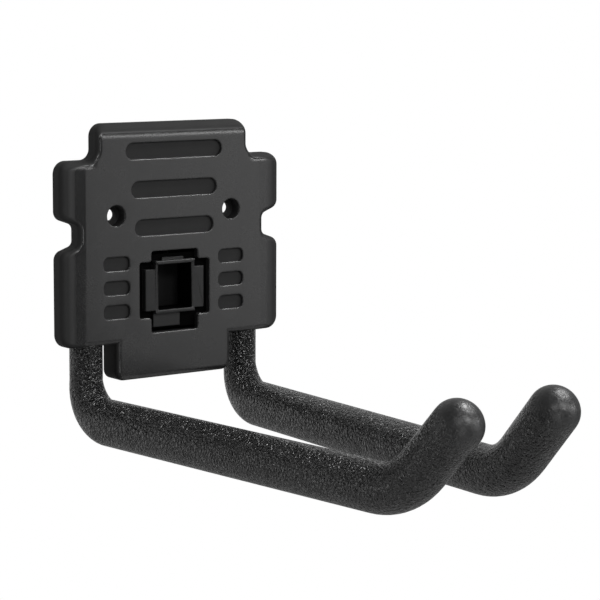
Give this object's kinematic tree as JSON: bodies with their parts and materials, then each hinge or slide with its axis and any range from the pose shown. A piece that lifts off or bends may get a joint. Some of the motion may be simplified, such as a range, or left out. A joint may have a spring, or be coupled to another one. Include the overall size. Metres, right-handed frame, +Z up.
{
  "type": "garage utility hook",
  "caption": "Wall plate with a spring lock that carries bent steel arms in thick grips, for hanging tools, ladders and cables.",
  "frame": {"origin": "on the wall plane, midway between the two wall screw holes", "axes": "+Z up, the wall is the plane Y = 0, the arms reach out along -Y, X is across the plate"},
  "size_m": [0.1216, 0.2585, 0.1463],
  "materials": {
    "plate_plastic": "satin black moulded plastic",
    "lock_plastic": "satin black moulded plastic",
    "grip_foam": "fine leathery grain",
    "frame_steel": "black powder coat",
    "spring_steel": "bright wire",
    "screw_steel": "zinc plated"
  },
  "bodies": {
    "plate": {"front_plate": "plate_plastic", "arm_frame": "frame_steel", "left_grip": "grip_foam", "right_grip": "grip_foam", "left_clamp": "frame_steel", "right_clamp": "frame_steel", "lock_keeper": "lock_plastic", "lock_spring": "spring_steel", "keeper_screws": "screw_steel", "clamp_screws": "screw_steel"},
    "lock": {"lock_slider": "lock_plastic"}
  },
  "joints": [
    {"name": "lock_slide", "type": "slide", "parent": "plate", "child": "lock", "axis": [0, 0, 1], "range_m": [0, 0.003], "stiffness_N_per_m": 400, "springref_m": -0.002, "deforming": ["lock_spring"]}
  ]
}
